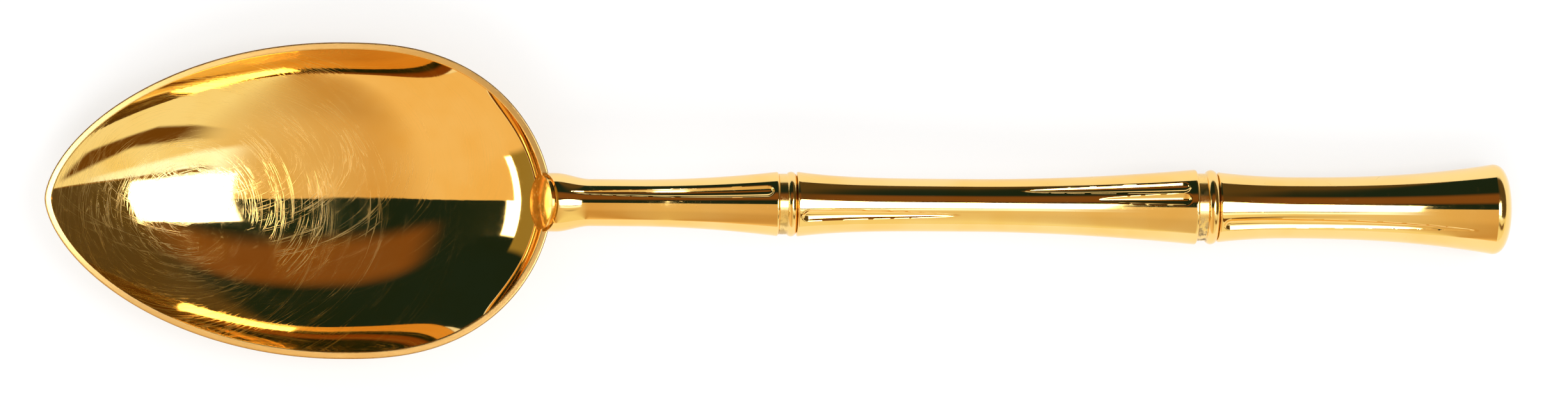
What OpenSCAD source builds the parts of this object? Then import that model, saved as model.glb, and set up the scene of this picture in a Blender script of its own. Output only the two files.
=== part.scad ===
// Teaspoon with a bamboo-shaped handle: a pressed bowl and a stack of turned internodes
// and node rings, threaded on a rod whose button head shows inside the bowl's heel.
// X runs from the bowl's tip to the handle's butt, +Z is up, and the spoon rests on Z = 0.

/* [Bowl] */
// Length of the bowl from its tip to the back of its heel
bowl_l = 51.9; // [45:0.1:60]
// Distance from the tip to the widest place
bowl_tip_l = 30.3; // [26:0.1:36]
// Greatest width over the rim
bowl_w = 32.3; // [28:0.1:38]
// Height of the rim above the table at the tip
tip_h = 7.2; // [5.5:0.1:9]
// Height of the rim above the table at the heel
heel_h = 9.7; // [8.8:0.1:12]
// Thickness of the sheet at the bottom of the bowl
sheet_t = 0.9; // [0.6:0.1:1.4]
// Width of the rim's flat edge
rim_w = 0.75; // [0.5:0.05:1.2]

/* [Neck] */
// Length of the neck internode along its axis
neck_l = 24; // [20:0.5:30]
// Diameter of the neck where it is let into the bowl's heel
foot_d = 6; // [5:0.1:7]
// Length of the neck's straight foot
foot_l = 1.3; // [1:0.1:2]
// Length over which the foot narrows to the waist
foot_flare_l = 3.6; // [2.5:0.1:6]
// Diameter of the neck's waist
neck_waist_d = 4.8; // [4.4:0.1:6]
// Diameter of the neck at the first node
neck_end_d = 6.6; // [5.8:0.1:7.5]
// Angle at which the neck leaves the bowl, above the level
heel_rise = 8; // [4:0.5:14]
// Radius of the neck's bend
bend_r = 55; // [40:1:70]
// Slope of the neck's end face, which lies along the bowl's inner wall
face_slope = 58; // [50:1:66]

/* [Middle internode] */
// Length of the middle internode
middle_l = 40.9; // [35:0.1:47]
// Diameter at the first node
middle_start_d = 6.65; // [5.8:0.05:7.2]
// Diameter of the waist
middle_waist_d = 5.4; // [5:0.1:6.2]
// Diameter of the flared lip at the second node
middle_end_d = 7.7; // [7:0.1:8.6]

/* [Grip internode] */
// Length of the grip internode
grip_l = 28.35; // [24:0.05:34]
// Diameter at the second node
grip_start_d = 7.2; // [6.4:0.1:7.8]
// Diameter of the waist
grip_waist_d = 6.3; // [5.8:0.1:7]
// Diameter of the flared end
grip_end_d = 9.2; // [8:0.1:10.5]
// Length of the rounded butt cap
cap_l = 1.85; // [1.2:0.05:3]

/* [Node rings] */
// Length of the first node ring
first_ring_l = 1.85; // [1.5:0.05:3]
// Diameter of the first ring in its groove
first_groove_d = 6.2; // [5.6:0.1:6.8]
// Diameter of the first ring's bead
first_bead_d = 6.6; // [6.3:0.1:7.4]
// Length of the second node ring
second_ring_l = 2.15; // [1.8:0.05:3.2]
// Diameter of the second ring in its groove
second_groove_d = 6.9; // [6.2:0.1:7.2]
// Diameter of the second ring's bead
second_bead_d = 7.6; // [7.2:0.1:8.4]
// Length of the collar that each ring and the cap let into an internode
spigot_l = 1.6; // [1:0.1:2]
// Diameter of that collar
spigot_d = 3.8; // [3.4:0.1:4.2]

/* [Rod] */
// Diameter of the rod through the handle
rod_d = 2.4; // [2:0.1:2.8]
// Depth to which the rod enters the butt cap's collar
rod_end_l = 1; // [0.6:0.1:1.5]
// Diameter of the button head in the bowl
button_d = 5.5; // [4.8:0.1:5.7]
// Thickness of the button at its edge
button_t = 0.25; // [0.2:0.05:0.4]
// Height of the button's dome above its edge
button_dome = 0.35; // [0.2:0.05:0.6]
// Space round a part that is let into another
fit_gap = 0.03; // [0.02:0.01:0.06]

/* [Edges and bamboo grooves] */
// Rounding of an internode's end edges
edge_r = 0.2; // [0.1:0.05:0.3]
// Width of a groove at its rounded end
groove_w = 1.35; // [1:0.05:1.8]
// Depth of a groove
groove_t = 0.36; // [0.2:0.02:0.5]

/* [Hidden] */
gold = [0.86, 0.62, 0.25];
pale_gold = [0.95, 0.78, 0.42];
deep_gold = [0.72, 0.45, 0.13];
$fn = 64;
overrun = 1;
// Length by which the rod's straight stretches reach into its bend
lap_l = 0.3;

// Exponents of the outline: a blunt point at the tip and a full, square heel
tip_length_share = 2;
tip_width_share = 1.65;
heel_length_share = 2.55;
heel_width_share = 1.8;
// Part of the bowl's depth that follows a shallow curve, at the middle and towards the
// tip; the rest climbs close to the rim
floor_share = 0.58;
front_floor_share = 0.45;
front_full_share = 0.5;
floor_power_share = 2;
wall_power_share = 5.5;
// Towards the heel the shallow curve takes over, and only behind the foot a lip climbs late
heel_full_share = 0.75;
foot_lip_share = 0.21;
lip_power_share = 16;
foot_from_share = 0.74;
foot_full_share = 0.99;
lip_from_share = 0.4;
lip_full_share = 0.95;
// How late the rim climbs towards the heel
rim_rise_share = 2.3;
bowl_rings = 14;
bowl_spokes = 64;

// Place of each waist along its internode, and how fast the ends open out
neck_waist_share = 0.4;
neck_end_share = 1.9;
middle_waist_share = 0.443;
middle_start_share = 4;
middle_end_share = 1.85;
grip_waist_share = 0.27;
grip_start_share = 2;
grip_end_share = 2.4;
cap_round_share = 2.5;
// Part of a ring's length that its bead takes; the rest is a groove
bead_share = 0.6;
// Grooves: angle from the top, pointed end and rounded end as shares of the internode
neck_groove_shares = [[25, 0.13, 0.975]];
middle_groove_shares = [[-22, 0.4, 0.012], [33, 0.56, 0.978], [12, 0.75, 0.978]];
grip_groove_shares = [[-31, 0.93, 0.016]];

// Steps round an internode: close together over the top, where the grooves are
grooved_arc = 60;
fine_step = 5;
coarse_step = 20;
ring_angles = concat([for (a = [-grooved_arc : fine_step : grooved_arc]) a],
                     [for (a = [grooved_arc + coarse_step : coarse_step : 360 - grooved_arc - 1]) a]);
cap_steps = 14;
neck_rings = 34;
middle_rings = 30;
grip_rings = 26;

rod_r = rod_d / 2;
foot_r = foot_d / 2;
butt_r = grip_end_d / 2;
spigot_r = spigot_d / 2;
stack_l = neck_l + first_ring_l + middle_l + second_ring_l + grip_l;

// The handle falls from its bend until the flared end touches the table
function bend_end_z(f) = heel_h + foot_l * sin(heel_rise) + bend_r * (cos(f) - cos(heel_rise));
function straight_l(f) = stack_l - foot_l - bend_r * (heel_rise + f) * PI / 180;
function touch(f) = asin(bend_end_z(f) / norm([straight_l(f), butt_r])) - atan2(butt_r, straight_l(f));
function settle(f, rounds) = rounds <= 0 ? f : settle(touch(f), rounds - 1);
settle_rounds = 12;
fall = settle(0, settle_rounds);
bend_l = bend_r * (heel_rise + fall) * PI / 180;
bend_end = foot_l + bend_l;

// The model is centred over its own length
heel_to_butt = foot_l * cos(heel_rise) + bend_r * (sin(heel_rise) + sin(fall))
    + (stack_l - bend_end + cap_l) * cos(fall);
face_back = rim_w + rim_w * cos(face_slope) / 2;
overall_l = bowl_l - face_back + heel_to_butt;
tip_x = -overall_l / 2;
deep_x = tip_x + bowl_tip_l;
heel_x = tip_x + bowl_l;
face_x = heel_x - face_back;

neck_end = neck_l;
first_ring_end = neck_end + first_ring_l;
middle_end = first_ring_end + middle_l;
second_ring_end = middle_end + second_ring_l;
grip_end = second_ring_end + grip_l;

// The handle's axis: straight through the foot, then a bend, then straight to the butt
function turn(s) = min(max(s - foot_l, 0), bend_l) / bend_r * 180 / PI;
function tilt(s) = heel_rise - turn(s);
function axis_x(s) = face_x + min(s, foot_l) * cos(heel_rise)
    + bend_r * (sin(heel_rise) - sin(tilt(s))) + max(s - bend_end, 0) * cos(fall);
function axis_z(s) = heel_h + min(s, foot_l) * sin(heel_rise)
    + bend_r * (cos(tilt(s)) - cos(heel_rise)) - max(s - bend_end, 0) * sin(fall);
function on_axis(s, r, a) = [axis_x(s) - r * cos(a) * sin(tilt(s)), r * sin(a),
                             axis_z(s) + r * cos(a) * cos(tilt(s))];

function smooth(t) = let(c = min(max(t, 0), 1)) c * c * (3 - 2 * c);
function between(v, low, high) = smooth((v - low) / (high - low));

// Faces of a closed skin over rings of points, with a point at each end
function skin_faces(rings, sides) = concat(
    [for (i = [0 : rings - 2], j = [0 : sides - 1], k = [0, 1])
        let(a = 1 + i * sides + j, b = 1 + i * sides + (j + 1) % sides)
        k == 0 ? [a, b, b + sides] : [a, b + sides, a + sides]],
    [for (j = [0 : sides - 1]) [0, 1 + (j + 1) % sides, 1 + j]],
    let(last = 1 + (rings - 1) * sides)
    [for (j = [0 : sides - 1]) [last + sides, last + j, last + (j + 1) % sides]]);

// Bowl outline at angle t from the tip, drawn in by a margin
function signed_power(v, p) = sign(v) * pow(abs(v), p);
function outline(t, inset) =
    let(front = cos(t) >= 0)
    let(reach = (front ? bowl_tip_l : bowl_l - bowl_tip_l) - inset)
    let(length_power = 2 / (front ? tip_length_share : heel_length_share))
    let(width_power = 2 / (front ? tip_width_share : heel_width_share))
    [deep_x - reach * signed_power(cos(t), length_power),
     (bowl_w / 2 - inset) * signed_power(sin(t), width_power)];
function rim_z(x) = tip_h + (heel_h - tip_h) * pow(max((x - tip_x) / bowl_l, 0), rim_rise_share);

// Depth curve at angle t, a share r of the way out from the deepest point, and x beyond it
function dish(t, r, x) =
    let(to_front = between(-x / bowl_tip_l, 0, front_full_share))
    let(share = floor_share + to_front * (front_floor_share - floor_share))
    let(floor_r = pow(r, floor_power_share))
    let(sides = share * floor_r + (1 - share) * pow(r, wall_power_share))
    let(at_foot = between(-cos(t), foot_from_share, foot_full_share))
    let(lip = foot_lip_share * at_foot * between(r, lip_from_share, lip_full_share))
    let(heel = floor_r + lip * (pow(r, lip_power_share) - floor_r))
    sides + between(x / (bowl_l - bowl_tip_l), 0, heel_full_share) * (heel - sides);
function dish_point(t, r, inset, floor_z) =
    let(p = outline(t, inset), x = r * (p[0] - deep_x))
    [deep_x + x, r * p[1], floor_z + (rim_z(p[0]) - floor_z) * dish(t, r, x)];

module bowl_shell() {
    outer = [for (i = [1 : bowl_rings], j = [0 : bowl_spokes - 1])
        dish_point(j * 360 / bowl_spokes, i / bowl_rings, 0, 0)];
    inner = [for (i = [bowl_rings : -1 : 1], j = [0 : bowl_spokes - 1])
        dish_point(j * 360 / bowl_spokes, i / bowl_rings, rim_w, sheet_t)];
    polyhedron(concat([[deep_x, 0, 0]], outer, inner, [[deep_x, 0, sheet_t]]),
               skin_faces(2 * bowl_rings, bowl_spokes));
}

// Half-round notch for the neck's foot, which ends at the foot's end face, and a pocket
// for the button in front of it
module heel_notch() {
    translate([face_x, 0, heel_h]) {
        difference() {
            rotate([0, 90 - heel_rise, 0])
                translate([0, 0, -foot_d])
                    cylinder(r = foot_r + fit_gap, h = 2 * foot_d);
            rotate([0, -face_slope, 0])
                translate([-foot_d, -foot_d, 0])
                    cube([2 * foot_d, 2 * foot_d, foot_d]);
        }
        rotate([0, -face_slope, 0])
            translate([0, 0, -button_t])
                cylinder(r = button_d / 2 + fit_gap, h = foot_r);
    }
}

// Pressed bowl, with the notch in its heel
module bowl() {
    color(gold) difference() {
        bowl_shell();
        heel_notch();
    }
}

// The rod's path, also used with a gap as the bore that it passes through. The rod is a
// little slimmer in its bend, whose ends lie inside the straight stretches.
module rod_path(r, end_s) {
    translate([face_x, 0, heel_h])
        rotate([0, 90 - heel_rise, 0])
            translate([0, 0, -foot_r])
                cylinder(r = r, h = foot_r + foot_l + lap_l);
    translate([axis_x(foot_l) + bend_r * sin(heel_rise), 0, axis_z(foot_l) - bend_r * cos(heel_rise)])
        rotate([90, 0, 0])
            rotate([0, 0, 90 - fall])
                rotate_extrude(angle = heel_rise + fall)
                    translate([bend_r, 0])
                        circle(r = r - fit_gap);
    at_station(bend_end)
        translate([0, 0, -lap_l])
            cylinder(r = r, h = end_s - bend_end + lap_l);
}

// What is drawn along the handle's axis, beyond its bend
module at_station(s) {
    translate([axis_x(s), 0, axis_z(s)])
        rotate([0, 90 + fall, 0])
            children();
}

// Domed button that lies on the neck's end face
module button() {
    dome_r = (pow(button_d / 2, 2) + pow(button_dome, 2)) / (2 * button_dome);
    translate([face_x, 0, heel_h])
        rotate([0, -face_slope, 0])
            rotate_extrude()
                intersection() {
                    square([button_d / 2, button_t + button_dome]);
                    translate([0, button_t + button_dome - dome_r])
                        circle(r = dome_r, $fn = 180);
                }
}

module tang_rod() {
    color(pale_gold) union() {
        button();
        difference() {
            rod_path(rod_r, grip_end - spigot_l + rod_end_l);
            translate([face_x, 0, heel_h])
                rotate([0, -face_slope, 0])
                    translate([-foot_d, -foot_d, button_t / 2])
                        cube([2 * foot_d, 2 * foot_d, foot_d]);
        }
    }
}

// Opening out of an internode from its waist to its ends
function waisted(u, waist, start_r, waist_r, end_r, start_power, end_power) =
    u < waist ? waist_r + (start_r - waist_r) * pow(1 - u / waist, start_power)
              : waist_r + (end_r - waist_r) * pow((u - waist) / (1 - waist), end_power);

// What the rounding takes off the radius at a distance from an internode's end
function rounded_off(d) = d < edge_r ? edge_r - sqrt(max(edge_r * edge_r - pow(edge_r - d, 2), 0)) : 0;

function neck_r(s) =
    let(waist_r = neck_waist_d / 2)
    let(opening = max(s / neck_l - neck_waist_share, 0) / (1 - neck_waist_share))
    waist_r + (foot_r - waist_r) * (1 - smooth((s - foot_l) / foot_flare_l))
            + (neck_end_d / 2 - waist_r) * pow(opening, neck_end_share)
            - rounded_off(neck_l - s);
function middle_r(s) = waisted(s / middle_l, middle_waist_share, middle_start_d / 2,
    middle_waist_d / 2, middle_end_d / 2, middle_start_share, middle_end_share)
    - rounded_off(s) - rounded_off(middle_l - s);
function grip_r(s) = waisted(s / grip_l, grip_waist_share, grip_start_d / 2,
    grip_waist_d / 2, butt_r, grip_start_share, grip_end_share) - rounded_off(s);

// Depth of one groove at a place: a hollow that runs out to a point, round at the node
function groove_at(g, s, a, r, l) =
    let(run = (s - g[1] * l) / ((g[2] - g[1]) * l))
    let(to_end = (1 - run) * abs(g[2] - g[1]) * l)
    let(rounding = to_end < groove_w / 2 ? sqrt(max(1 - pow(1 - to_end / groove_w * 2, 2), 0)) : 1)
    let(half_w = run > 0 && run < 1 ? groove_w / 2 * sqrt(run) * rounding : 0)
    let(across = half_w > 0 ? (a - g[0]) * PI / 180 * r / half_w : 1)
    abs(across) < 1 ? groove_t * sqrt(run) * rounding * (1 - across * across) : 0;
function grooves_at(grooves, s, a, r, l) = max([for (g = grooves) groove_at(g, s, a, r, l)]);

// Stations along an internode, closer together towards both ends
function spread(i, count) = (1 - cos(180 * i / (count - 1))) / 2;

module grooved_internode(start_s, end_s, grooves, radii, stations) {
    sides = len(ring_angles);
    rings = len(stations);
    points = [for (i = [0 : rings - 1], j = [0 : sides - 1])
        let(a = ring_angles[j], r = radii[i])
        on_axis(start_s + stations[i],
                r - grooves_at(grooves, stations[i], a > 180 ? a - 360 : a, r, end_s - start_s), a)];
    polyhedron(concat([on_axis(start_s, 0, 0)], points, [on_axis(end_s, 0, 0)]),
               skin_faces(rings, sides));
}

// Bore for the rod, and a socket for a ring's collar at an end
module bore() {
    rod_path(rod_r + fit_gap, grip_end + overrun);
}

module socket(s, length) {
    at_station(s)
        cylinder(r = spigot_r + fit_gap, h = length);
}

// Neck: its foot is cut along the bowl's inner wall, and its body bends up and over
module neck_internode() {
    sides = len(ring_angles);
    shear_l = foot_l + foot_flare_l + foot_r;
    function sheared(s, a) =
        s + foot_r * cos(a) / tan(face_slope - heel_rise) * max(1 - s / shear_l, 0);
    points = [for (i = [0 : neck_rings - 1], j = [0 : sides - 1])
        let(a = ring_angles[j], s = sheared(neck_l * spread(i, neck_rings), a), r = neck_r(s))
        on_axis(s, r - grooves_at(neck_groove_shares, s, a > 180 ? a - 360 : a, r, neck_l), a)];
    color(gold) difference() {
        polyhedron(concat([on_axis(0, 0, 0)], points, [on_axis(neck_l, 0, 0)]),
                   skin_faces(neck_rings, sides));
        bore();
        socket(neck_end - spigot_l - fit_gap, spigot_l + overrun);
    }
}

// Ring between two internodes: a groove, then a bead, and a collar at each side
module node_ring(ring_l, groove_d, bead_d) {
    bead_r = ring_l * bead_share / 2;
    difference() {
        union() {
            rotate_extrude()
                union() {
                    square([groove_d / 2, ring_l]);
                    translate([bead_d / 2 - bead_r, ring_l - bead_r])
                        circle(r = bead_r);
                }
            translate([0, 0, -spigot_l])
                cylinder(r = spigot_r, h = ring_l + 2 * spigot_l);
        }
        translate([0, 0, -spigot_l - overrun])
            cylinder(r = rod_r + fit_gap, h = ring_l + 2 * (spigot_l + overrun));
    }
}

module first_node_ring() {
    color(pale_gold)
        at_station(neck_end)
            node_ring(first_ring_l, first_groove_d, first_bead_d);
}

module middle_internode() {
    stations = [for (i = [0 : middle_rings - 1]) middle_l * spread(i, middle_rings)];
    color(gold) difference() {
        grooved_internode(first_ring_end, middle_end, middle_groove_shares,
                          [for (s = stations) middle_r(s)], stations);
        bore();
        socket(first_ring_end - overrun, spigot_l + fit_gap + overrun);
        socket(middle_end - spigot_l - fit_gap, spigot_l + overrun);
    }
}

module second_node_ring() {
    color(pale_gold)
        at_station(middle_end)
            node_ring(second_ring_l, second_groove_d, second_bead_d);
}

module grip_internode() {
    stations = [for (i = [0 : grip_rings - 1]) grip_l * spread(i, grip_rings)];
    color(gold) difference() {
        grooved_internode(second_ring_end, grip_end, grip_groove_shares,
                          [for (s = stations) grip_r(s)], stations);
        bore();
        socket(second_ring_end - overrun, spigot_l + fit_gap + overrun);
        socket(grip_end - spigot_l - fit_gap, spigot_l + overrun);
    }
}

// Rounded butt, let into the grip's flared end, with a blind hole for the rod
module butt_cap() {
    profile = [for (i = [0 : cap_steps])
        let(u = sin(90 * i / cap_steps))
        [butt_r * pow(1 - pow(u, cap_round_share), 1 / cap_round_share), cap_l * u]];
    color(deep_gold)
        at_station(grip_end)
            difference() {
                union() {
                    rotate_extrude()
                        polygon(concat([[0, 0]], profile));
                    translate([0, 0, -spigot_l])
                        cylinder(r = spigot_r, h = spigot_l);
                }
                translate([0, 0, -spigot_l - overrun])
                    cylinder(r = rod_r + fit_gap, h = overrun + rod_end_l + fit_gap);
            }
}

bowl();
tang_rod();
neck_internode();
first_node_ring();
middle_internode();
second_node_ring();
grip_internode();
butt_cap();
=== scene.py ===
import math

import bmesh
import bpy
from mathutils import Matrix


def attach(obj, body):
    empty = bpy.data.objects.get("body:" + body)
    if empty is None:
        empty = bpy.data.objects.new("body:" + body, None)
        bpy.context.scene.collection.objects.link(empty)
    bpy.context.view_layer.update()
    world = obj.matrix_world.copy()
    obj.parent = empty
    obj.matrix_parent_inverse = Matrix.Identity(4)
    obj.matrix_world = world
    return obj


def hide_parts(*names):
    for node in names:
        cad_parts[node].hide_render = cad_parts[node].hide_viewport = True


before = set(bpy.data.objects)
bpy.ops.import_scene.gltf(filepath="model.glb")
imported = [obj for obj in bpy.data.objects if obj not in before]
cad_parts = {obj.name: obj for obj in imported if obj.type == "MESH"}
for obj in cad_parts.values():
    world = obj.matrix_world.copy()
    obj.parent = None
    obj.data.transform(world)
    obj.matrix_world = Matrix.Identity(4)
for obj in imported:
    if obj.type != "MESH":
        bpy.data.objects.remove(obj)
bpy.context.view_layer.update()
print("frame loaded:", ", ".join(sorted(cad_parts)))

mm = 0.001


# Node trees: a wire is a socket that can stand in an expression

class Wire:
    def __init__(self, tree, socket=None):
        self.tree = tree
        self.socket = socket

    def node(self, kind, settings=None, sockets=None, output=0):
        made = self.tree.nodes.new(kind)
        for name, value in (settings or {}).items():
            setattr(made, name, value)
        for name, value in (sockets or {}).items():
            if isinstance(value, Wire):
                self.tree.links.new(value.socket, made.inputs[name])
            else:
                made.inputs[name].default_value = value
        return Wire(self.tree, made.outputs[output] if len(made.outputs) else None)

    def out(self, name):
        return Wire(self.tree, self.socket.node.outputs[name])

    def math(self, operation, *values):
        return self.node("ShaderNodeMath", {"operation": operation}, dict(enumerate(values)))

    def __add__(self, other):
        return self.math("ADD", self, other)

    def __radd__(self, other):
        return self.math("ADD", other, self)

    def __sub__(self, other):
        return self.math("SUBTRACT", self, other)

    def __rsub__(self, other):
        return self.math("SUBTRACT", other, self)

    def __mul__(self, other):
        return self.math("MULTIPLY", self, other)

    def __rmul__(self, other):
        return self.math("MULTIPLY", other, self)

    def __truediv__(self, other):
        return self.math("DIVIDE", self, other)

    def __rtruediv__(self, other):
        return self.math("DIVIDE", other, self)

    def __pow__(self, other):
        return self.math("POWER", self, other)

    def __abs__(self):
        return self.math("ABSOLUTE", self)

    def atMost(self, other):
        return self.math("MINIMUM", self, other)

    def atLeast(self, other):
        return self.math("MAXIMUM", self, other)

    def above(self, limit):
        return self.math("GREATER_THAN", self, limit)

    def rise(self, low, high):
        # 0 below low, 1 above high, and smooth between them
        return self.node("ShaderNodeMapRange", {"interpolation_type": "SMOOTHSTEP"},
                         {0: self, 1: low, 2: high, 3: 0.0, 4: 1.0})

    def scaled(self, factor):
        return self.node("ShaderNodeVectorMath", {"operation": "SCALE"}, {0: self, "Scale": factor})

    def noise(self, scale, detail, rough):
        return self.node("ShaderNodeTexNoise", None, {"Vector": self, "Scale": scale,
                                                      "Detail": detail, "Roughness": rough})

    def joined(self, x, y, z):
        return self.node("ShaderNodeCombineXYZ", None, {0: x, 1: y, 2: z})

    def parts(self):
        split = self.node("ShaderNodeSeparateXYZ", None, {0: self})
        return split, split.out("Y"), split.out("Z")

    def mixed(self, first, second):
        # colours mixed by this factor
        return self.node("ShaderNodeMix", {"data_type": "RGBA"}, {0: self, 6: first, 7: second}, 2)


def opaque(colour, level=1.0):
    return tuple(channel * level for channel in colour) + (1.0,)


def emptyMaterial(name):
    material = bpy.data.materials.new(name)
    material.use_nodes = True
    material.node_tree.nodes.clear()
    return material, Wire(material.node_tree)


def placed(name, data):
    thing = bpy.data.objects.new(name, data)
    bpy.context.scene.collection.objects.link(thing)
    return thing


# Polished gold plate. Lengths in the looks are millimetres, pairs are where a rise starts and ends,
# and threes are a noise's scale, detail and roughness.

finish = {
    "gold": (0.955, 0.655, 0.245), "deepGold": (0.93, 0.585, 0.165),
    # the dark red-brown edge colour here is painted shade on the bowl's outer edge, for the shaded
    # table that it reflects
    "wornGold": (0.84, 0.57, 0.24), "shadedEdgeColour": (0.30, 0.13, 0.035), "dirt": (0.035, 0.022, 0.012),
    "tintNoise": (0.09, 3.0, 0.6), "tintRange": (0.35, 0.7),
    "hazeNoise": (1.6, 4.0, 0.7), "hazeRange": (0.45, 0.8),
    "rimInner": (0.02, 0.14), "rimOuter": (0.98, 0.86), "rimNoise": (6.0, 3.0, 0.65),
    "rimRough": 0.26, "rimGrainRough": 0.1, "roughGrain": (0.4, 0.7),
    "rimWorn": 0.5, "rimGrainWorn": 0.2, "wornGrain": (0.7, 0.35),
    "shadedEdgeShare": 0.85, "edgeRough": 0.15, "dirtRough": 0.5, "dirtDull": 0.9,
    "scratchDepth": 0.000001, "scratchRough": 0.42, "scratchShare": 0.5,
}
# roughness and how much haze adds to it
polish = {"bowl": (0.03, 0.03), "handle": (0.045, 0.03), "ring": (0.14, 0.05), "rod": (0.13, 0.25)}


def goldMaterial(name, roughness, haze, scratchLayers, creases=(), rimBand=False):
    material, start = emptyMaterial(name)
    place = start.node("ShaderNodeTexCoord", output="Object").scaled(1 / mm)
    x, y, z = place.parts()

    scratched = None
    for layer in scratchLayers:
        lines = layer(place, x, y, z)
        scratched = lines if scratched is None else scratched.atLeast(lines)

    tint = place.noise(*finish["tintNoise"]).rise(*finish["tintRange"])
    colour = tint.mixed(opaque(finish["gold"]), opaque(finish["deepGold"]))
    fineHaze = place.noise(*finish["hazeNoise"]).rise(*finish["hazeRange"])
    roughness = roughness + haze * fineHaze
    metallic = 1.0
    height = scratched * -1.0
    if rimBand:
        band = start.node("ShaderNodeAttribute", {"attribute_name": "band"}, output="Fac")
        onRim = band.rise(*finish["rimInner"]) * band.rise(*finish["rimOuter"])
        grain = place.noise(*finish["rimNoise"])
        roughness = roughness + onRim * (
            finish["rimRough"] + finish["rimGrainRough"] * grain.rise(*finish["roughGrain"]))
        worn = onRim * (
            finish["rimWorn"] + finish["rimGrainWorn"] * grain.rise(*finish["wornGrain"]))
        colour = worn.mixed(colour, opaque(finish["wornGold"]))
        # painted shade: the bowl's outer edge is darkened towards red-brown, standing in for the
        # shaded table under the bowl that it reflects, and it is made rougher
        edge = start.node("ShaderNodeAttribute", {"attribute_name": "edge"}, output="Fac")
        colour = (edge * finish["shadedEdgeShare"]).mixed(colour, opaque(finish["shadedEdgeColour"]))
        roughness = roughness + finish["edgeRough"] * edge
    for crease in creases:
        dirty = crease(place, x, y, z)
        colour = dirty.mixed(colour, opaque(finish["dirt"]))
        roughness = roughness + finish["dirtRough"] * dirty
        metallic = 1.0 - finish["dirtDull"] * dirty
    bump = start.node("ShaderNodeBump", None,
                      {"Strength": 1.0, "Distance": finish["scratchDepth"], "Height": height})
    polished = start.node("ShaderNodeBsdfPrincipled", None, {
        "Base Color": colour, "Roughness": roughness, "Metallic": metallic, "Normal": bump})
    scraped = start.node("ShaderNodeBsdfPrincipled", None, {
        "Base Color": colour, "Roughness": finish["scratchRough"], "Metallic": metallic})
    shader = start.node("ShaderNodeMixShader", None, {
        0: scratched * finish["scratchShare"], 1: polished, 2: scraped})
    start.node("ShaderNodeOutputMaterial", None, {"Surface": shader})
    return material


scratchLook = {
    "least": 0.01, "arcNoise": (1.0, 2.0, 0.6), "arcPatch": (0.14, 2.0, 0.6), "arcPatchSoft": 0.2,
    "arcGap": (0.35, 2.0, 0.5), "arcGapRange": (0.38, 0.6), "arcFade": 0.55,
    "markNoise": (1.0, 1.0, 0.5), "markPatch": (0.6, 3.0, 0.65), "markPatchSoft": 0.15,
    "markFade": 0.4,
}


def lineMask(field, width):
    # thin lines along the middle level of a noise
    return 1.0 - abs(field - 0.5).rise(0.0, width)


def arcScratches(centreX, centreY, stretch, spacing, turns, width, patchLow, strength, reach):
    # long fine arcs round a centre, in patches, fading with the distance from it
    def layer(place, x, y, z):
        sideX = (x - centreX) * stretch
        sideY = y - centreY
        radius = (sideX * sideX + sideY * sideY) ** 0.5
        turnX, turnY = (part / (radius + scratchLook["least"]) for part in (sideX, sideY))
        polar = place.joined(radius / spacing, turnX * turns, turnY * turns)
        lines = lineMask(polar.noise(*scratchLook["arcNoise"]), width)
        patches = place.noise(*scratchLook["arcPatch"]).rise(
            patchLow, patchLow + scratchLook["arcPatchSoft"])
        patches = patches * polar.noise(*scratchLook["arcGap"]).rise(*scratchLook["arcGapRange"])
        return lines * patches * radius.rise(reach, reach * scratchLook["arcFade"]) * strength
    return layer


def straightScratches(angle, spacing, length, width, patchLow, strength, reach=None):
    # short straight marks at an angle to the handle, over all or round a place
    def layer(place, x, y, z):
        turned = place.node("ShaderNodeVectorRotate", {"rotation_type": "Z_AXIS"},
                            {"Vector": place, "Angle": math.radians(angle)})
        alongX, acrossY, up = turned.parts()
        field = place.joined(alongX / length, acrossY / spacing, up / length)
        lines = lineMask(field.noise(*scratchLook["markNoise"]), width)
        patches = place.noise(*scratchLook["markPatch"]).rise(
            patchLow, patchLow + scratchLook["markPatchSoft"])
        marks = lines * patches * strength
        if reach is None:
            return marks
        nearX, nearY, nearR = reach
        farX, farY = x - nearX, y - nearY
        away = (farX * farX + farY * farY) ** 0.5
        return marks * away.rise(nearR, nearR * scratchLook["markFade"])
    return layer


# Bowl: a shell whose outline and section follow one rule, made by a node tree

bowlSize = {
    "Length": 51.9, "Tip length": 30.3, "Width": 32.3, "Tip height": 7.2, "Heel height": 9.7,
    "Sheet": 0.9, "Rim width": 0.75, "Rim crown": 0.1, "Tip lean": 0.09, "Side lean": 0.07,
    "Tip length power": 1.0, "Tip width power": 2 / 1.65, "Heel length power": 2 / 2.55,
    "Heel width power": 2 / 1.8, "Floor share": 0.58, "Front floor share": 0.45,
    "Front full share": 0.5, "Floor power": 2.0, "Wall power": 5.5, "Heel full share": 0.75,
    "Foot lip share": 0.12, "Lip power": 60.0, "Foot from": 0.6, "Foot full": 0.99,
    "Lip from": 0.4, "Lip full": 0.95, "Rim rise": 2.3,
}
bowlGrid = {
    "spokes": 320, "rows": 220, "outside": 0.42, "inside": 0.58, "edgeRun": (0.9, 0.95),
    "edgeBand": (0.12, 0.06), "tipLean": (0.3, 0.0), "crownPower": 7.0, "leanPower": 8.0,
}
meshRules = {"merge": 1e-7, "flat": 1e-8, "sharp": 40}

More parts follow.
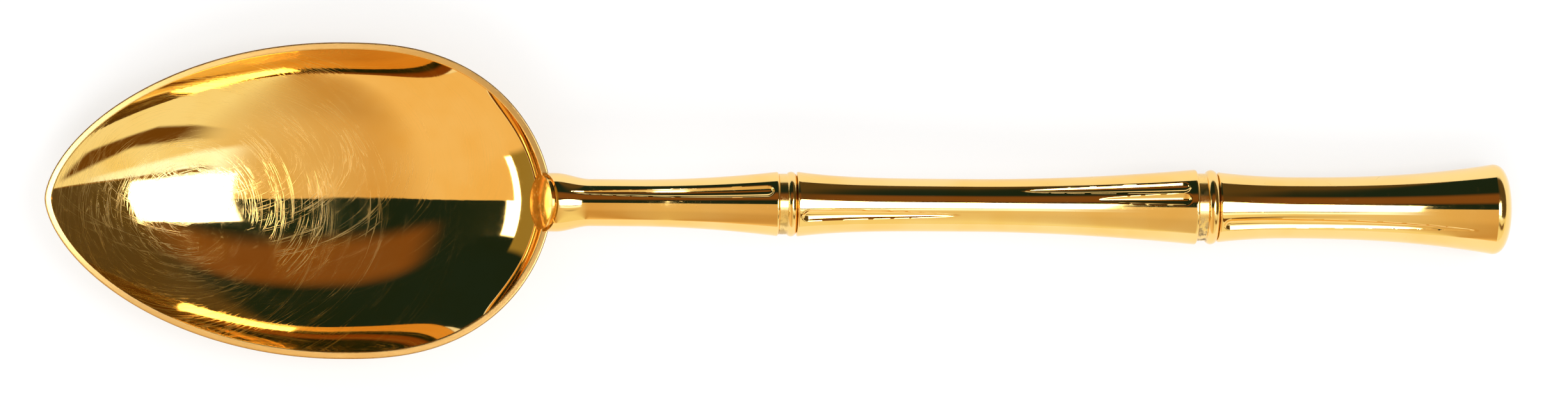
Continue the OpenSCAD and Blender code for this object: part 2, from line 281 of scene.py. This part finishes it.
handleSize = {
    "neck": 24.0, "firstRing": 1.85, "middle": 40.9, "secondRing": 2.15, "grip": 28.35, "cap": 1.85,
    "foot": 6.0, "footStraight": 1.3, "footFlare": 3.6, "neckWaist": 4.8, "neckEnd": 6.6,
    "heelRise": 8.0, "bend": 55.0, "faceSlope": 58.0,
    "middleStart": 6.65, "middleWaist": 5.4, "middleEnd": 7.7,
    "gripStart": 7.2, "gripWaist": 6.3, "gripEnd": 9.2,
    "firstGroove": 6.2, "firstBead": 6.6, "secondGroove": 6.9, "secondBead": 7.6, "beadShare": 0.6,
    "collar": 3.8, "collarLength": 1.6, "rod": 2.4, "rodEnd": 1.0, "gap": 0.03,
    "button": 5.5, "buttonEdge": 0.2, "buttonDome": 0.3, "buttonSunk": 0.3, "buttonSlope": 63.0,
    "edge": 0.22, "grooveWidth": 1.35, "grooveDepth": 0.36,
    "neckWaistAt": 0.4, "neckEndPower": 1.9,
    "middleWaistAt": 0.443, "middleStartPower": 4.0, "middleEndPower": 1.85,
    "gripWaistAt": 0.27, "gripStartPower": 2.0, "gripEndPower": 2.4, "capPower": 2.5,
    "sides": 168, "steps": 200, "groovedAngle": 65, "groovedShare": 0.62, "cornerSteps": 8,
    "endStep": 0.15, "evenShare": 0.7, "easedShare": 0.3, "boreSteps": 40,
    "turnedSides": 128, "grooveCorner": 0.05, "beadSteps": 32, "capSteps": 48,
    "rodStart": 0.4, "rodSides": 64, "rodSteps": 120,
    "buttonCorner": 0.12, "buttonCornerLow": 0.7, "buttonSteps": 32,
}
# angle from the top, pointed end and rounded end as shares of the internode
neckGrooves = [(25, 0.13, 0.975)]
middleGrooves = [(-22, 0.4, 0.012), (33, 0.56, 0.978), (12, 0.75, 0.978)]
gripGrooves = [(-31, 0.93, 0.016)]

h = handleSize
rise = math.radians(h["heelRise"])
slope = math.radians(h["faceSlope"])
stack = h["neck"] + h["firstRing"] + h["middle"] + h["secondRing"] + h["grip"]
buttRadius = h["gripEnd"] / 2


def settledFall():
    # the angle at which the straight handle's flared end touches the table
    fall = 0.0
    for _ in range(12):
        height = (bowlSize["Heel height"] + h["footStraight"] * math.sin(rise)
                  + h["bend"] * (math.cos(fall) - math.cos(rise)))
        straight = stack - h["footStraight"] - h["bend"] * (rise + fall)
        fall = (math.asin(height / math.hypot(straight, buttRadius))
                - math.atan2(buttRadius, straight))
    return fall


fall = settledFall()
bendLength = h["bend"] * (rise + fall)
bendEnd = h["footStraight"] + bendLength
heelToButt = (h["footStraight"] * math.cos(rise) + h["bend"] * (math.sin(rise) + math.sin(fall))
              + (stack - bendEnd + h["cap"]) * math.cos(fall))
faceBack = bowlSize["Rim width"] * (1 + math.cos(slope) / 2)
tipX = -(bowlSize["Length"] - faceBack + heelToButt) / 2
deepX = tipX + bowlSize["Tip length"]
faceX = tipX + bowlSize["Length"] - faceBack


def signedPower(value, power):
    return value.math("SIGN", value) * abs(value) ** power


def bowlTree(material):
    tree = bpy.data.node_groups.new("bowlShell", "GeometryNodeTree")
    tree.interface.new_socket("Geometry", in_out="OUTPUT", socket_type="NodeSocketGeometry")
    for name, value in bowlSize.items():
        socket = tree.interface.new_socket(name, in_out="INPUT", socket_type="NodeSocketFloat")
        socket.default_value = value
    start = Wire(tree)
    given = start.node("NodeGroupInput")
    size = {name: given.out(name) for name in bowlSize}

    grid = start.node("GeometryNodeMeshGrid", None, {
        "Size X": 1.0, "Size Y": 1.0,
        "Vertices X": bowlGrid["spokes"] + 1, "Vertices Y": bowlGrid["rows"] + 1})
    across, down, _ = start.node("GeometryNodeInputPosition").parts()
    angle = (across + 0.5) * math.tau
    run = down + 0.5
    outside, inside = bowlGrid["outside"], bowlGrid["inside"]
    climb = (run / outside).atMost((1.0 - run) / (1.0 - inside)).atMost(1.0)
    radius = start.math("SINE", climb * (math.pi / 2))
    band = ((run - outside) / (inside - outside)).atMost(1.0).atLeast(0.0)

    cosine, sine = start.math("COSINE", angle), start.math("SINE", angle)
    front = cosine.above(0.0)
    inset = size["Rim width"] * band
    heelLength = size["Length"] - size["Tip length"]
    reach = front * size["Tip length"] + (1.0 - front) * heelLength - inset
    lengthPower = front * size["Tip length power"] + (1.0 - front) * size["Heel length power"]
    widthPower = front * size["Tip width power"] + (1.0 - front) * size["Heel width power"]
    edgeX = 0.0 - reach * signedPower(cosine, lengthPower)
    edgeY = (size["Width"] / 2.0 - inset) * signedPower(sine, widthPower)

    crown = size["Rim crown"]
    along = ((edgeX + size["Tip length"]) / size["Length"]).atLeast(0.0)
    rimHeight = (size["Tip height"] - crown
                 + (size["Heel height"] - size["Tip height"]) * along ** size["Rim rise"])
    floor = size["Sheet"] * band
    bottom = radius ** size["Floor power"]
    beyond = radius * edgeX
    toFront = (0.0 - beyond / size["Tip length"]).rise(0.0, size["Front full share"])
    share = size["Floor share"] + toFront * (size["Front floor share"] - size["Floor share"])
    sides = share * bottom + (1.0 - share) * radius ** size["Wall power"]
    atFoot = (0.0 - cosine).rise(size["Foot from"], size["Foot full"])
    lip = size["Foot lip share"] * atFoot * radius.rise(size["Lip from"], size["Lip full"])
    heel = bottom + lip * (radius ** size["Lip power"] - bottom)
    toHeel = (beyond / heelLength).rise(0.0, size["Heel full share"])
    dish = sides + toHeel * (heel - sides)
    leaning = (size["Tip lean"] * band * along.rise(*bowlGrid["tipLean"])
               + size["Side lean"] * (band - 0.5) * edgeY / (size["Width"] / 2.0))
    domed = 1.0 - abs(2.0 * band - 1.0) ** bowlGrid["crownPower"]
    height = (floor + (rimHeight - floor) * dish + crown * domed
              - leaning * radius ** bowlGrid["leanPower"])
    point = start.joined(beyond + deepX, radius * edgeY, height).scaled(mm)

    # the outer edge of the rim, which the material darkens as painted shade
    outer = (run / outside).rise(*bowlGrid["edgeRun"]) * band.rise(*bowlGrid["edgeBand"])
    marked = grid
    for name, value in (("band", band), ("edge", outer)):
        marked = start.node("GeometryNodeStoreNamedAttribute",
                            {"data_type": "FLOAT", "domain": "POINT"},
                            {"Geometry": marked, "Name": name, "Value": value})
    shaped = start.node("GeometryNodeSetPosition", None, {"Geometry": marked, "Position": point})
    closed = start.node("GeometryNodeMergeByDistance", None, {
        "Geometry": shaped, "Distance": meshRules["merge"]})
    smooth = start.node("GeometryNodeSetShadeSmooth", None, {"Geometry": closed})
    real = start.node("GeometryNodeRealizeInstances", None, {"Geometry": smooth})
    dressed = start.node("GeometryNodeSetMaterial", None, {"Geometry": real, "Material": material})
    start.node("NodeGroupOutput", None, {"Geometry": dressed})
    return tree


def finished(name, mesh, material, node):
    # one closed mesh, facing outwards, in place of its CAD node
    work = bmesh.new()
    work.from_mesh(mesh)
    bmesh.ops.remove_doubles(work, verts=work.verts, dist=meshRules["merge"])
    bmesh.ops.dissolve_degenerate(work, dist=meshRules["flat"], edges=work.edges)
    bmesh.ops.recalc_face_normals(work, faces=work.faces)
    if work.calc_volume(signed=True) < 0:
        bmesh.ops.reverse_faces(work, faces=work.faces)
    work.to_mesh(mesh)
    work.free()
    mesh.materials.clear()
    mesh.materials.append(material)
    mesh.polygons.foreach_set("use_smooth", [True] * len(mesh.polygons))
    mesh.set_sharp_from_angle(angle=math.radians(meshRules["sharp"]))
    piece = placed(name, mesh)
    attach(piece, "root")
    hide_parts(node)
    print(f"{name}: {len(mesh.polygons)} faces")
    return piece


def makeBowl(material):
    base = placed("bowlBase", bpy.data.meshes.new("bowlBase"))
    modifier = base.modifiers.new("shell", "NODES")
    modifier.node_group = bowlTree(material)
    for item in modifier.node_group.interface.items_tree:
        if item.in_out == "INPUT":
            modifier[item.identifier] = bowlSize[item.name]
    ready = base.evaluated_get(bpy.context.evaluated_depsgraph_get())
    mesh = bpy.data.meshes.new_from_object(ready)
    mesh.name = "bowlShell"
    bpy.data.objects.remove(base)
    return finished("bowlShell", mesh, material, "bowl")


# Handle: every piece is drawn along one axis, straight, bent over and straight again

def tiltAt(s):
    return rise - min(max(s - h["footStraight"], 0.0), bendLength) / h["bend"]


def onAxis(s, radius, angle):
    tilt = tiltAt(s)
    first, last = min(s, h["footStraight"]), max(s - bendEnd, 0.0)
    x = (faceX + first * math.cos(rise) + h["bend"] * (math.sin(rise) - math.sin(tilt))
         + last * math.cos(fall))
    z = (bowlSize["Heel height"] + first * math.sin(rise)
         + h["bend"] * (math.cos(tilt) - math.cos(rise)) - last * math.sin(fall))
    up = radius * math.cos(angle)
    return ((x - up * math.sin(tilt)) * mm, radius * math.sin(angle) * mm,
            (z + up * math.cos(tilt)) * mm)


def skinMesh(name, loops, ring):
    # loops of points joined into a skin; a ring's last loop joins its first
    sides = len(loops[0])
    points = [point for loop in loops for point in loop]
    rows = len(loops) if ring else len(loops) - 1
    faces = []
    for row in range(rows):
        here, there = row * sides, ((row + 1) % len(loops)) * sides
        for side in range(sides):
            after = (side + 1) % sides
            faces.append((here + side, here + after, there + after, there + side))
    mesh = bpy.data.meshes.new(name)
    mesh.from_pydata(points, [], faces)
    return mesh


def sideAngles(count):
    # close together over the top, where the grooves are
    grooved = math.radians(h["groovedAngle"])
    top = int(count * h["groovedShare"])
    rest = count - top
    angles = [-grooved + 2 * grooved * i / top for i in range(top)]
    return angles + [grooved + (math.tau - 2 * grooved) * i / rest for i in range(rest)]


def smoothStep(t):
    t = min(max(t, 0.0), 1.0)
    return t * t * (3 - 2 * t)


def waisted(u, waist, startR, waistR, endR, startPower, endPower):
    if u < waist:
        return waistR + (startR - waistR) * (1 - u / waist) ** startPower
    return waistR + (endR - waistR) * ((u - waist) / (1 - waist)) ** endPower


def roundedOff(distance):
    if distance >= h["edge"]:
        return 0.0
    return h["edge"] - math.sqrt(max(h["edge"] ** 2 - (h["edge"] - distance) ** 2, 0.0))


def neckRadius(s):
    waist, foot = h["neckWaist"] / 2, h["foot"] / 2
    opening = max(s / h["neck"] - h["neckWaistAt"], 0.0) / (1 - h["neckWaistAt"])
    return (waist + (foot - waist) * (1 - smoothStep((s - h["footStraight"]) / h["footFlare"]))
            + (h["neckEnd"] / 2 - waist) * opening ** h["neckEndPower"] - roundedOff(h["neck"] - s))


def middleRadius(s):
    radius = waisted(s / h["middle"], h["middleWaistAt"], h["middleStart"] / 2,
                     h["middleWaist"] / 2, h["middleEnd"] / 2, h["middleStartPower"],
                     h["middleEndPower"])
    return radius - roundedOff(s) - roundedOff(h["middle"] - s)


def gripRadius(s):
    return waisted(s / h["grip"], h["gripWaistAt"], h["gripStart"] / 2, h["gripWaist"] / 2,
                   buttRadius, h["gripStartPower"], h["gripEndPower"]) - roundedOff(s)


def grooveDepth(groove, s, angle, radius, length):
    # a hollow that runs out to a point, round where it meets the node
    centre, pointed, blunt = groove
    run = (s - pointed * length) / ((blunt - pointed) * length)
    if not 0 < run < 1:
        return 0.0
    toEnd = (1 - run) * abs(blunt - pointed) * length
    closing = math.sqrt(max(1 - (1 - toEnd / h["grooveWidth"] * 2) ** 2, 0.0)) \
        if toEnd < h["grooveWidth"] / 2 else 1.0
    halfWidth = h["grooveWidth"] / 2 * math.sqrt(run) * closing
    if halfWidth <= 0:
        return 0.0
    across = (angle - math.radians(centre)) * radius / halfWidth
    if abs(across) >= 1:
        return 0.0
    return h["grooveDepth"] * math.sqrt(run) * closing * (1 - across * across)


def internodeStations(length, roundStart, roundEnd):
    count, steps = h["cornerSteps"], h["steps"]
    corner = [h["edge"] * (1 - math.cos(math.pi / 2 * i / count)) for i in range(count)]
    first = corner if roundStart else [0.0]
    last = [length - d for d in reversed(corner)] if roundEnd else [length]
    low = h["edge"] if roundStart else h["endStep"]
    high = length - (h["edge"] if roundEnd else h["endStep"])
    even = []
    for i in range(steps + 1):
        eased = h["easedShare"] * (1 - math.cos(math.pi * i / steps)) / 2
        even.append(low + (high - low) * (i / steps * h["evenShare"] + eased))
    return first + even + last


def makeInternode(name, node, start, length, radiusAt, grooves, material):
    # outer skin, then back through the socket and bore inside it
    angles = sideAngles(h["sides"])
    neck = node == "neck_internode"
    shear = h["footStraight"] + h["footFlare"] + h["foot"] / 2
    lean = 1 / math.tan(math.radians(h["buttonSlope"]) - rise) if neck else 0.0
    loops = []
    for s in internodeStations(length, not neck, node != "grip_internode"):
        loop = []
        for angle in angles:
            at = s + h["foot"] / 2 * math.cos(angle) * lean * max(1 - s / shear, 0.0)
            radius = radiusAt(at)
            cut = max(grooveDepth(g, at, angle, radius, length) for g in grooves)
            loop.append(onAxis(start + at, radius - cut, angle))
        loops.append(loop)
    bore, socket = h["rod"] / 2 + h["gap"], h["collar"] / 2 + h["gap"]
    deep = h["collarLength"] + h["gap"]
    inner = [(length, socket), (length - deep, socket), (length - deep, bore)]
    first = 0.0 if neck else deep
    count = h["boreSteps"]
    inner += [(length - deep + (first - length + deep) * i / count, bore)
              for i in range(1, count + 1)]
    if not neck:
        inner += [(deep, socket), (0.0, socket)]
    for s, radius in inner:
        lift = max(1 - s / shear, 0.0) * lean * radius
        loops.append([onAxis(start + s + lift * math.cos(angle), radius, angle)
                      for angle in angles])
    return finished(name, skinMesh(name, loops, True), material, node)


def evenAngles(count):
    return [math.tau * i / count for i in range(count)]


def makeTurned(name, node, start, profile, ring, material):
    # a turned piece: radius and distance along the axis
    angles = evenAngles(h["turnedSides"])
    loops = [[onAxis(start + s, radius, angle) for angle in angles] for radius, s in profile]
    return finished(name, skinMesh(name, loops, ring), material, node)


def ringProfile(length, grooveR, beadR):
    # collar, groove with a rounded corner, bead and collar
    collar, bore, reach = h["collar"] / 2, h["rod"] / 2 + h["gap"], h["collarLength"]
    beadSize = length * h["beadShare"] / 2
    centreR, centreS = beadR - beadSize, length - beadSize
    start = math.acos(min(max((grooveR - centreR) / beadSize, -1.0), 1.0))
    bead = []
    for i in range(h["beadSteps"] + 1):
        turn = -start + (start + math.pi / 2) * i / h["beadSteps"]
        bead.append((centreR + beadSize * math.cos(turn), centreS + beadSize * math.sin(turn)))
    corner = h["grooveCorner"]
    return [(bore, -reach), (collar, -reach), (collar, 0.0), (grooveR - corner, 0.0),
            (grooveR, corner)] \
        + bead + [(collar, length), (collar, length + reach), (bore, length + reach)]


def capProfile():
    collar, bore = h["collar"] / 2, h["rod"] / 2 + h["gap"]
    depth = h["rodEnd"] + h["gap"] - h["collarLength"]
    profile = [(0.0, depth), (bore, depth), (bore, -h["collarLength"]),
               (collar, -h["collarLength"]), (collar, 0.0)]
    for i in range(h["capSteps"] + 1):
        u = math.sin(math.pi / 2 * i / h["capSteps"])
        radius = buttRadius * max(1 - u ** h["capPower"], 0.0) ** (1 / h["capPower"])
        profile.append((radius, h["cap"] * u))
    return profile


def makeRod(material):
    # the rod through the handle, and the domed button on the neck's end face
    end = stack - h["collarLength"] + h["rodEnd"]
    angles = evenAngles(h["rodSides"])
    rodR, first, steps = h["rod"] / 2, h["rodStart"], h["rodSteps"]
    stations = [first + (end - first) * i / steps for i in range(steps + 1)]
    loops = [[onAxis(first, 0.0, 0.0)] * h["rodSides"]]
    for s in stations:
        bent = h["footStraight"] < s < bendEnd
        loops.append([onAxis(s, rodR - (h["gap"] if bent else 0.0), angle) for angle in angles])
    loops.append([onAxis(end, 0.0, 0.0)] * h["rodSides"])
    rod = skinMesh("tangRod", loops, False)

    radius, edge, dome = h["button"] / 2, h["buttonEdge"], h["buttonDome"]
    lie = math.radians(h["buttonSlope"])
    domeR = (radius ** 2 + dome ** 2) / (2 * dome)
    corner, count = h["buttonCorner"], h["cornerSteps"]
    profile = [(0.0, -h["buttonSunk"]), (radius, -h["buttonSunk"])]
    for i in range(count + 1):
        turn = math.pi / 2 * i / count
        profile.append((radius - corner + corner * math.cos(turn),
                        edge - corner * h["buttonCornerLow"] + corner * math.sin(turn)))
    rim = radius - corner
    for i in range(1, h["buttonSteps"] + 1):
        r = rim * (1 - i / h["buttonSteps"])
        profile.append((r, edge + dome - domeR + math.sqrt(domeR ** 2 - r ** 2)))
    button = []
    for r, up in profile:
        loop = []
        for angle in evenAngles(h["turnedSides"]):
            out = r * math.cos(angle)
            loop.append(((faceX + out * math.cos(lie) - up * math.sin(lie)) * mm,
                         r * math.sin(angle) * mm,
                         (bowlSize["Heel height"] + out * math.sin(lie) + up * math.cos(lie)) * mm))
        button.append(loop)
    head = skinMesh("buttonHead", button, False)
    work = bmesh.new()
    work.from_mesh(rod)
    work.from_mesh(head)
    work.to_mesh(rod)
    work.free()
    return finished("tangRod", rod, material, "tang_rod")


creaseLook = {
    "side": -1, "least": 0.01, "alongFade": 0.35, "outside": (0.25, 0.02), "sideRange": (0.1, 0.75),
    "spotNoise": (1.3, 4.0, 0.7), "spotRange": (0.42, 0.6), "onSide": 0.9, "allRound": 0.06,
}
# place behind the start of the ring, width and amount
residue = {"first": (0.4, 0.7, 0.4), "second": (0.45, 0.8, 0.8)}


def creaseDirt(start, radius, behind, width, amount):
    # dark residue low in a node's groove, on one side
    centre = onAxis(start + behind, 0.0, 0.0)
    outFrom, outTo = creaseLook["outside"]

    def layer(place, x, y, z):
        along = (x - centre[0] / mm) * math.cos(fall) - (z - centre[2] / mm) * math.sin(fall)
        lift = (x - centre[0] / mm) * math.sin(fall) + (z - centre[2] / mm) * math.cos(fall)
        off = (y * y + lift * lift) ** 0.5
        near = (abs(along).rise(width, width * creaseLook["alongFade"])
                * off.rise(radius + outFrom, radius + outTo))
        onSide = (y * creaseLook["side"] / (off + creaseLook["least"])).rise(
            *creaseLook["sideRange"])
        spots = place.noise(*creaseLook["spotNoise"]).rise(*creaseLook["spotRange"])
        return near * (onSide * creaseLook["onSide"] + creaseLook["allRound"]) * spots * amount
    return layer


# arcs: centre, stretch, spacing, turns, width, least patch, strength and reach
# straight: angle, spacing, length, width, least patch, strength and the place they are round
bowlScratches = [
    arcScratches(-60.7, -1.2, 1.0, 0.28, 0.9, 0.035, 0.30, 0.8, 20.0),
    arcScratches(-60.0, -0.5, 0.8, 0.45, 1.2, 0.03, 0.34, 0.8, 24.0),
    arcScratches(-58.0, 4.0, 0.55, 0.32, 1.0, 0.035, 0.34, 0.7, 18.0),
    straightScratches(63, 0.5, 3.0, 0.02, 0.5, 0.6, (-59.0, 0.0, 9.0)),
    straightScratches(-20, 0.5, 3.0, 0.02, 0.52, 0.6, (-59.0, -1.0, 9.0)),
]
handleScratches = [
    straightScratches(8, 0.8, 5.0, 0.012, 0.55, 0.4),
    straightScratches(-35, 1.0, 4.0, 0.01, 0.6, 0.4),
]

bowlGold = goldMaterial("bowlGold", *polish["bowl"], bowlScratches, rimBand=True)
handleGold = goldMaterial("handleGold", *polish["handle"], handleScratches)
firstStation = h["neck"]
secondStation = h["neck"] + h["firstRing"] + h["middle"]
gripStation = secondStation + h["secondRing"]
ringGold = goldMaterial("ringGold", *polish["ring"], handleScratches, [
    creaseDirt(firstStation, h["firstGroove"] / 2, *residue["first"]),
    creaseDirt(secondStation, h["secondGroove"] / 2, *residue["second"])])
rodGold = goldMaterial("rodGold", *polish["rod"], handleScratches)
print("materials made")

makeBowl(bowlGold)
makeInternode("neckInternode", "neck_internode", 0.0, h["neck"], neckRadius, neckGrooves,
              handleGold)
makeTurned("firstNodeRing", "first_node_ring", firstStation,
           ringProfile(h["firstRing"], h["firstGroove"] / 2, h["firstBead"] / 2), True,
           ringGold)
makeInternode("middleInternode", "middle_internode", firstStation + h["firstRing"], h["middle"],
              middleRadius, middleGrooves, handleGold)
makeTurned("secondNodeRing", "second_node_ring", secondStation,
           ringProfile(h["secondRing"], h["secondGroove"] / 2, h["secondBead"] / 2), True,
           ringGold)
makeInternode("gripInternode", "grip_internode", gripStation, h["grip"], gripRadius, gripGrooves,
              handleGold)
makeTurned("buttCap", "butt_cap", stack, capProfile(), False, ringGold)
makeRod(rodGold)
print("pieces made")


# Studio: a white table, a painted surround that only reflections see, and two soft lamps

studio = {
    "tableGlow": 0.52, "tableDiffuse": 0.42, "tableHalf": 6.0,
    "surroundRadius": 7.0, "surroundGrid": (48, 32), "surroundFoot": -0.01,
    "card": (0.74, 0.50, 0.24), "cardLow": (0.62, 0.40, 0.17), "cardBack": (0.95, 0.71, 0.40),
    "cardFront": (1.0, 0.98, 0.75), "pale": (1.3, 1.6, 2.2), "shade": (0.16, 0.07, 0.01),
    "line": (0.3, 0.17, 0.05), "green": (0.012, 0.026, 0.022), "brown": (0.22, 0.094, 0.027),
    "darkFront": (0.10, 0.07, 0.03), "darkBack": (0.34, 0.27, 0.09),
    "windowLevel": 8.0,
    "windowAt": (0.24, 0.0, 0.6), "windowSize": (0.26, 0.19), "windowPower": 1.0,
    "softAt": (-0.15, -0.7, 0.8), "softSize": 0.5, "softPower": 3.0,
    "worldLevel": 1.0,
}
# where the surround's paint changes, as distance ahead or to the side for a height of 1
paint = {
    "least": 0.05, "leastBehind": 0.01, "ragged": 0.02, "raggedNoise": (9.0, 3.0, 0.6),
    "cardLow": (-0.5, -1.1), "cardBack": (-0.1, -1.1), "cardFront": (-0.25, 0.5),
    "stripSide": 0.43, "stripTurn": 1.03, "stripBend": 0.9, "stripFar": 0.33,
    "stripWidth": (0.04, 0.3), "stripSoft": (1.05, 0.6), "stripFrom": (0.12, 0.5),
    "stripTo": (3.2, 2.4),
    "lineSide": 0.2, "lineTurn": 0.31, "lineCurve": 0.03, "lineWidth": (0.022, 0.02),
    "lineSoft": (1.0, 0.5), "lineFrom": (0.1, 0.2),
    "paleLow": (-0.2, -0.13), "paleFrom": (0.04, 0.14), "paleTo": (1.5, 0.6),
    "brownLow": (0.18, 0.36), "brownHigh": (1.0, 0.65), "brownBack": 0.2, "brownReach": (1.1, 0.4),
    "darkFront": (0.2, 0.7), "edgeTurn": (0.5, 0.56), "edgeSide": 0.035, "edgeLean": 0.03,
    "edgeLeanFrom": 0.5, "edgeSoft": (-0.006, 0.006),
    "dimFrom": (2.0, 2.1), "dimHalf": (0.52, 0.42),
    "openingFrom": 1.82, "openingStep": 0.19, "openingSoft": (-0.02, 0.02),
    "openingTo": (2.07, 2.03), "openingNear": (-0.46, -0.42), "openingFar": (0.34, 0.3),
    "windowStart": (0.06, 0.07), "windowStartTurn": 0.04, "windowStop": (0.55, 0.535),
    "windowStopTurn": 0.08, "windowNear": (0.165, 0.285), "windowFar": (0.12, 0.47),
    "windowSoft": 0.005,
}


def makeTable():
    half = studio["tableHalf"]
    mesh = bpy.data.meshes.new("table")
    mesh.from_pydata([(-half, -half, 0), (half, -half, 0), (half, half, 0), (-half, half, 0)], [],
                     [(0, 1, 2, 3)])
    table = placed("table", mesh)
    material, start = emptyMaterial("tablePaper")
    path = start.node("ShaderNodeLightPath")
    seen = path.out("Is Camera Ray").atLeast(path.out("Is Glossy Ray")).atLeast(
        path.out("Is Transmission Ray"))
    paper = start.node("ShaderNodeBsdfDiffuse", None, {
        "Color": opaque((1, 1, 1), studio["tableDiffuse"])})
    glow = start.node("ShaderNodeEmission", None, {
        "Color": opaque((1, 1, 1)), "Strength": seen * studio["tableGlow"]})
    both = start.node("ShaderNodeAddShader", None, {0: paper, 1: glow})
    start.node("ShaderNodeOutputMaterial", None, {"Surface": both})
    mesh.materials.append(material)


def makeSurround():
    segments, rings = studio["surroundGrid"]
    work = bmesh.new()
    bmesh.ops.create_uvsphere(work, u_segments=segments, v_segments=rings,
                              radius=studio["surroundRadius"])
    low = [vert for vert in work.verts if vert.co.z < studio["surroundFoot"]]
    bmesh.ops.delete(work, geom=low, context="VERTS")
    mesh = bpy.data.meshes.new("surround")
    work.to_mesh(mesh)
    work.free()
    surround = placed("surround", mesh)
    material, start = emptyMaterial("surroundPaint")
    x, y, z = start.node("ShaderNodeTexCoord", output="Object").parts()
    up = z.atLeast(paint["least"])
    ahead, side = x / up, y / up
    grain = start.joined(ahead, side, 0.0).noise(*paint["raggedNoise"])
    ragged = side + paint["ragged"] * (grain - 0.5)

    # warm card on the near side, paler to both ends, with a dark strip and a thin line
    card = ragged.rise(*paint["cardLow"]).mixed(opaque(studio["card"]), opaque(studio["cardLow"]))
    card = ahead.rise(*paint["cardBack"]).mixed(card, opaque(studio["cardBack"]))
    card = ahead.rise(*paint["cardFront"]).mixed(card, opaque(studio["cardFront"]))
    far = (ahead - paint["stripBend"]).atLeast(0.0)
    least, growth = paint["stripWidth"]
    strip = (ragged + paint["stripSide"] + paint["stripTurn"] * ahead.atMost(paint["stripBend"])
             + paint["stripFar"] * far) / (least + growth * ahead)
    shade = (abs(strip).rise(*paint["stripSoft"]) * ahead.rise(*paint["stripFrom"])
             * ahead.rise(*paint["stripTo"]))
    line = (ragged + paint["lineSide"] + paint["lineTurn"] * ahead
            - paint["lineCurve"] * ahead * ahead)
    pale = (line.rise(*paint["paleLow"]) * ahead.rise(*paint["paleFrom"])
            * ahead.rise(*paint["paleTo"]))
    card = pale.mixed(card, opaque(studio["pale"]))
    card = shade.mixed(card, opaque(studio["shade"]))
    least, growth = paint["lineWidth"]
    thin = (abs(line / (least + growth * ahead)).rise(*paint["lineSoft"])
            * ahead.rise(*paint["lineFrom"]))
    card = thin.mixed(card, opaque(studio["line"]))

    # dark room on the far side, with a warm band above the handle
    brown = (ragged.rise(*paint["brownLow"]) * ragged.rise(*paint["brownHigh"])
             * abs(ahead + paint["brownBack"]).rise(*paint["brownReach"]))
    dark = brown.mixed(opaque(studio["green"]), opaque(studio["brown"]))
    dark = ahead.rise(*paint["darkFront"]).mixed(dark, opaque(studio["darkFront"]))
    turned = ahead.rise(*paint["edgeTurn"])
    lean = paint["edgeLean"] * (ahead + paint["edgeLeanFrom"]).atLeast(0.0)
    edge = turned * line + (1.0 - turned) * (ragged + paint["edgeSide"] - lean)
    colour = edge.rise(*paint["edgeSoft"]).mixed(card, dark)

    # dim low over the table at the back, and a bright opening above it
    behind = 0.0 - ahead
    back = side / behind.atLeast(paint["leastBehind"])
    dim = behind.rise(*paint["dimFrom"]) * abs(back).rise(*paint["dimHalf"])
    colour = dim.mixed(colour, opaque(studio["darkBack"]))
    begins = paint["openingFrom"] - paint["openingStep"] * edge.above(0.0)
    opening = ((behind - begins).rise(*paint["openingSoft"]) * behind.rise(*paint["openingTo"])
               * back.rise(*paint["openingNear"]) * back.rise(*paint["openingFar"]))

    # window ahead, with slanting sides
    soft = paint["windowSoft"]
    near, nearTurn = paint["windowNear"]
    wide, wideTurn = paint["windowFar"]
    window = ((ahead + paint["windowStartTurn"] * side).rise(*paint["windowStart"])
              * (ahead + paint["windowStopTurn"] * side).rise(*paint["windowStop"])
              * (side + near + nearTurn * ahead).rise(-soft, soft)
              * (side - wide - wideTurn * ahead).rise(soft, -soft))
    bright = window.atLeast(opening)
    level = 1.0 + (studio["windowLevel"] - 1.0) * bright
    colour = bright.mixed(colour, opaque((1, 1, 1)))
    glow = start.node("ShaderNodeEmission", None, {"Color": colour, "Strength": level})
    start.node("ShaderNodeOutputMaterial", None, {"Surface": glow})
    mesh.materials.append(material)
    surround.visible_camera = False
    surround.visible_diffuse = False
    surround.visible_shadow = False


def makeLamp(name, at, size, power):
    lamp = bpy.data.lights.new(name, "AREA")
    lamp.shape = "RECTANGLE"
    lamp.size, lamp.size_y = size
    lamp.energy = power
    holder = placed(name, lamp)
    holder.location = at
    holder.visible_camera = False
    holder.visible_glossy = False
    return holder


makeTable()
makeSurround()
makeLamp("window", studio["windowAt"], studio["windowSize"], studio["windowPower"])
soft = makeLamp("softLamp", studio["softAt"], (studio["softSize"],) * 2, studio["softPower"])
soft.rotation_euler = (math.atan2(-studio["softAt"][1], studio["softAt"][2]), 0.0, 0.0)

world = bpy.data.worlds.new("paleRoom")
bpy.context.scene.world = world
world.use_nodes = True
world.node_tree.nodes.clear()
air = Wire(world.node_tree)
glow = air.node("ShaderNodeBackground", None, {
    "Color": opaque((1, 1, 1)), "Strength": studio["worldLevel"]})
air.node("ShaderNodeOutputWorld", None, {"Surface": glow})

view = {
    "centre": (0.58, 0.05), "width": 161.7, "distance": 700.0, "roll": 0.43, "sensor": 36.0,
    "clipStart": 0.05,
}
camera = bpy.data.cameras.new("camera")
camera.sensor_width = view["sensor"]
camera.lens = view["sensor"] * view["distance"] / view["width"]
camera.clip_start = view["clipStart"]
holder = placed("camera", camera)
holder.location = (view["centre"][0] * mm, view["centre"][1] * mm, view["distance"] * mm)
holder.rotation_euler = (0.0, 0.0, math.radians(view["roll"]))
bpy.context.scene.camera = holder
bpy.context.scene.view_settings.view_transform = "Standard"
print("studio made")
